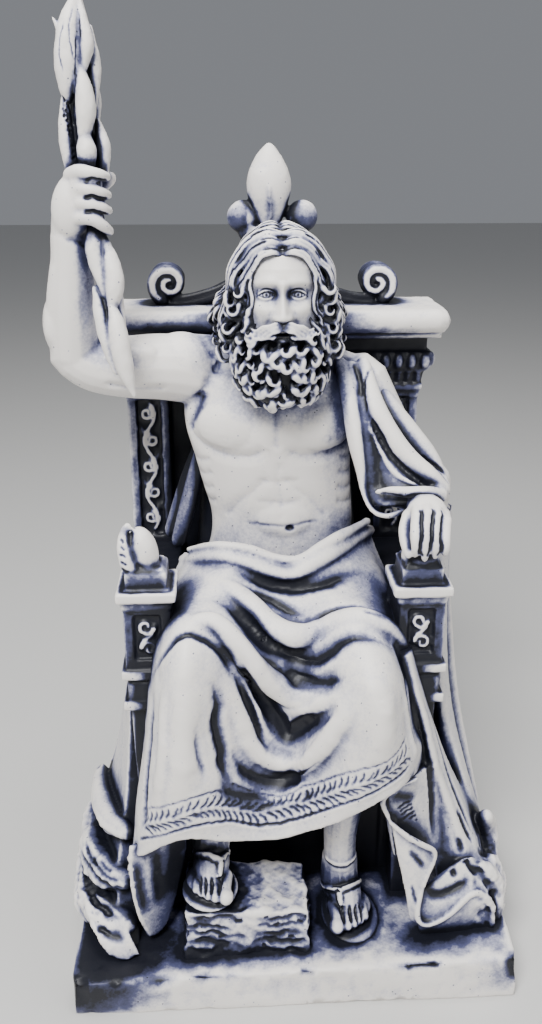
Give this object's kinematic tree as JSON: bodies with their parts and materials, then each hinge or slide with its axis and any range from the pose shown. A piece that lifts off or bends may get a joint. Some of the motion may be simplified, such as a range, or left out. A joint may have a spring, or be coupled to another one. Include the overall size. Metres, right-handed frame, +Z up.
{
  "type": "seated god statue",
  "caption": "Bearded sky god in a draped robe on a high-backed throne, a flame bolt in the raised hand, cast in one piece with its plinth.",
  "frame": {"origin": "middle of the plinth's flat underside", "axes": "+Z up, the figure faces -Y, +X is on the figure's left"},
  "size_m": [0.1828, 0.15, 0.3666],
  "materials": {
    "antiqued_cast_resin": "cast resin in a dark blue-black wash, dry-brushed ivory white on the raised forms"
  },
  "bodies": {
    "root": {"zeus_statue": "antiqued_cast_resin"}
  },
  "joints": []
}
